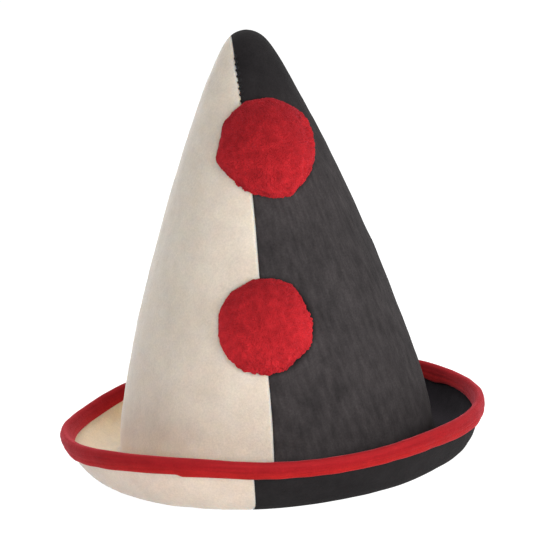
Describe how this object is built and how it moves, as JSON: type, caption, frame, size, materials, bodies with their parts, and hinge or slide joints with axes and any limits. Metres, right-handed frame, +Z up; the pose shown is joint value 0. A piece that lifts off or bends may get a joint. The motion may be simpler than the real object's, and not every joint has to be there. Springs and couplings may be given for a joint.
{
  "type": "clown hat",
  "caption": "Tall felt cone hat with a rounded tip, cream on one side and black on the other, a turned-up brim bound with red tape, and red pompoms down its front seam.",
  "frame": {"origin": "on the surface that the hat stands on, under the middle of the brim", "axes": "+Z up along the crown, front with the pompoms towards -Y, black half towards +X"},
  "size_m": [0.2546, 0.271, 0.254],
  "materials": {
    "cream_felt": "matte pressed wool felt with a short nap",
    "black_felt": "matte pressed wool felt with a short nap",
    "red_tape": "soft brushed binding tape folded over the edge",
    "red_yarn": "dense cut wool pile"
  },
  "bodies": {
    "root": {"felt_cream": "cream_felt", "felt_black": "black_felt", "brim_tape": "red_tape", "pompom_upper": "red_yarn", "pompom_lower": "red_yarn"}
  },
  "joints": []
}
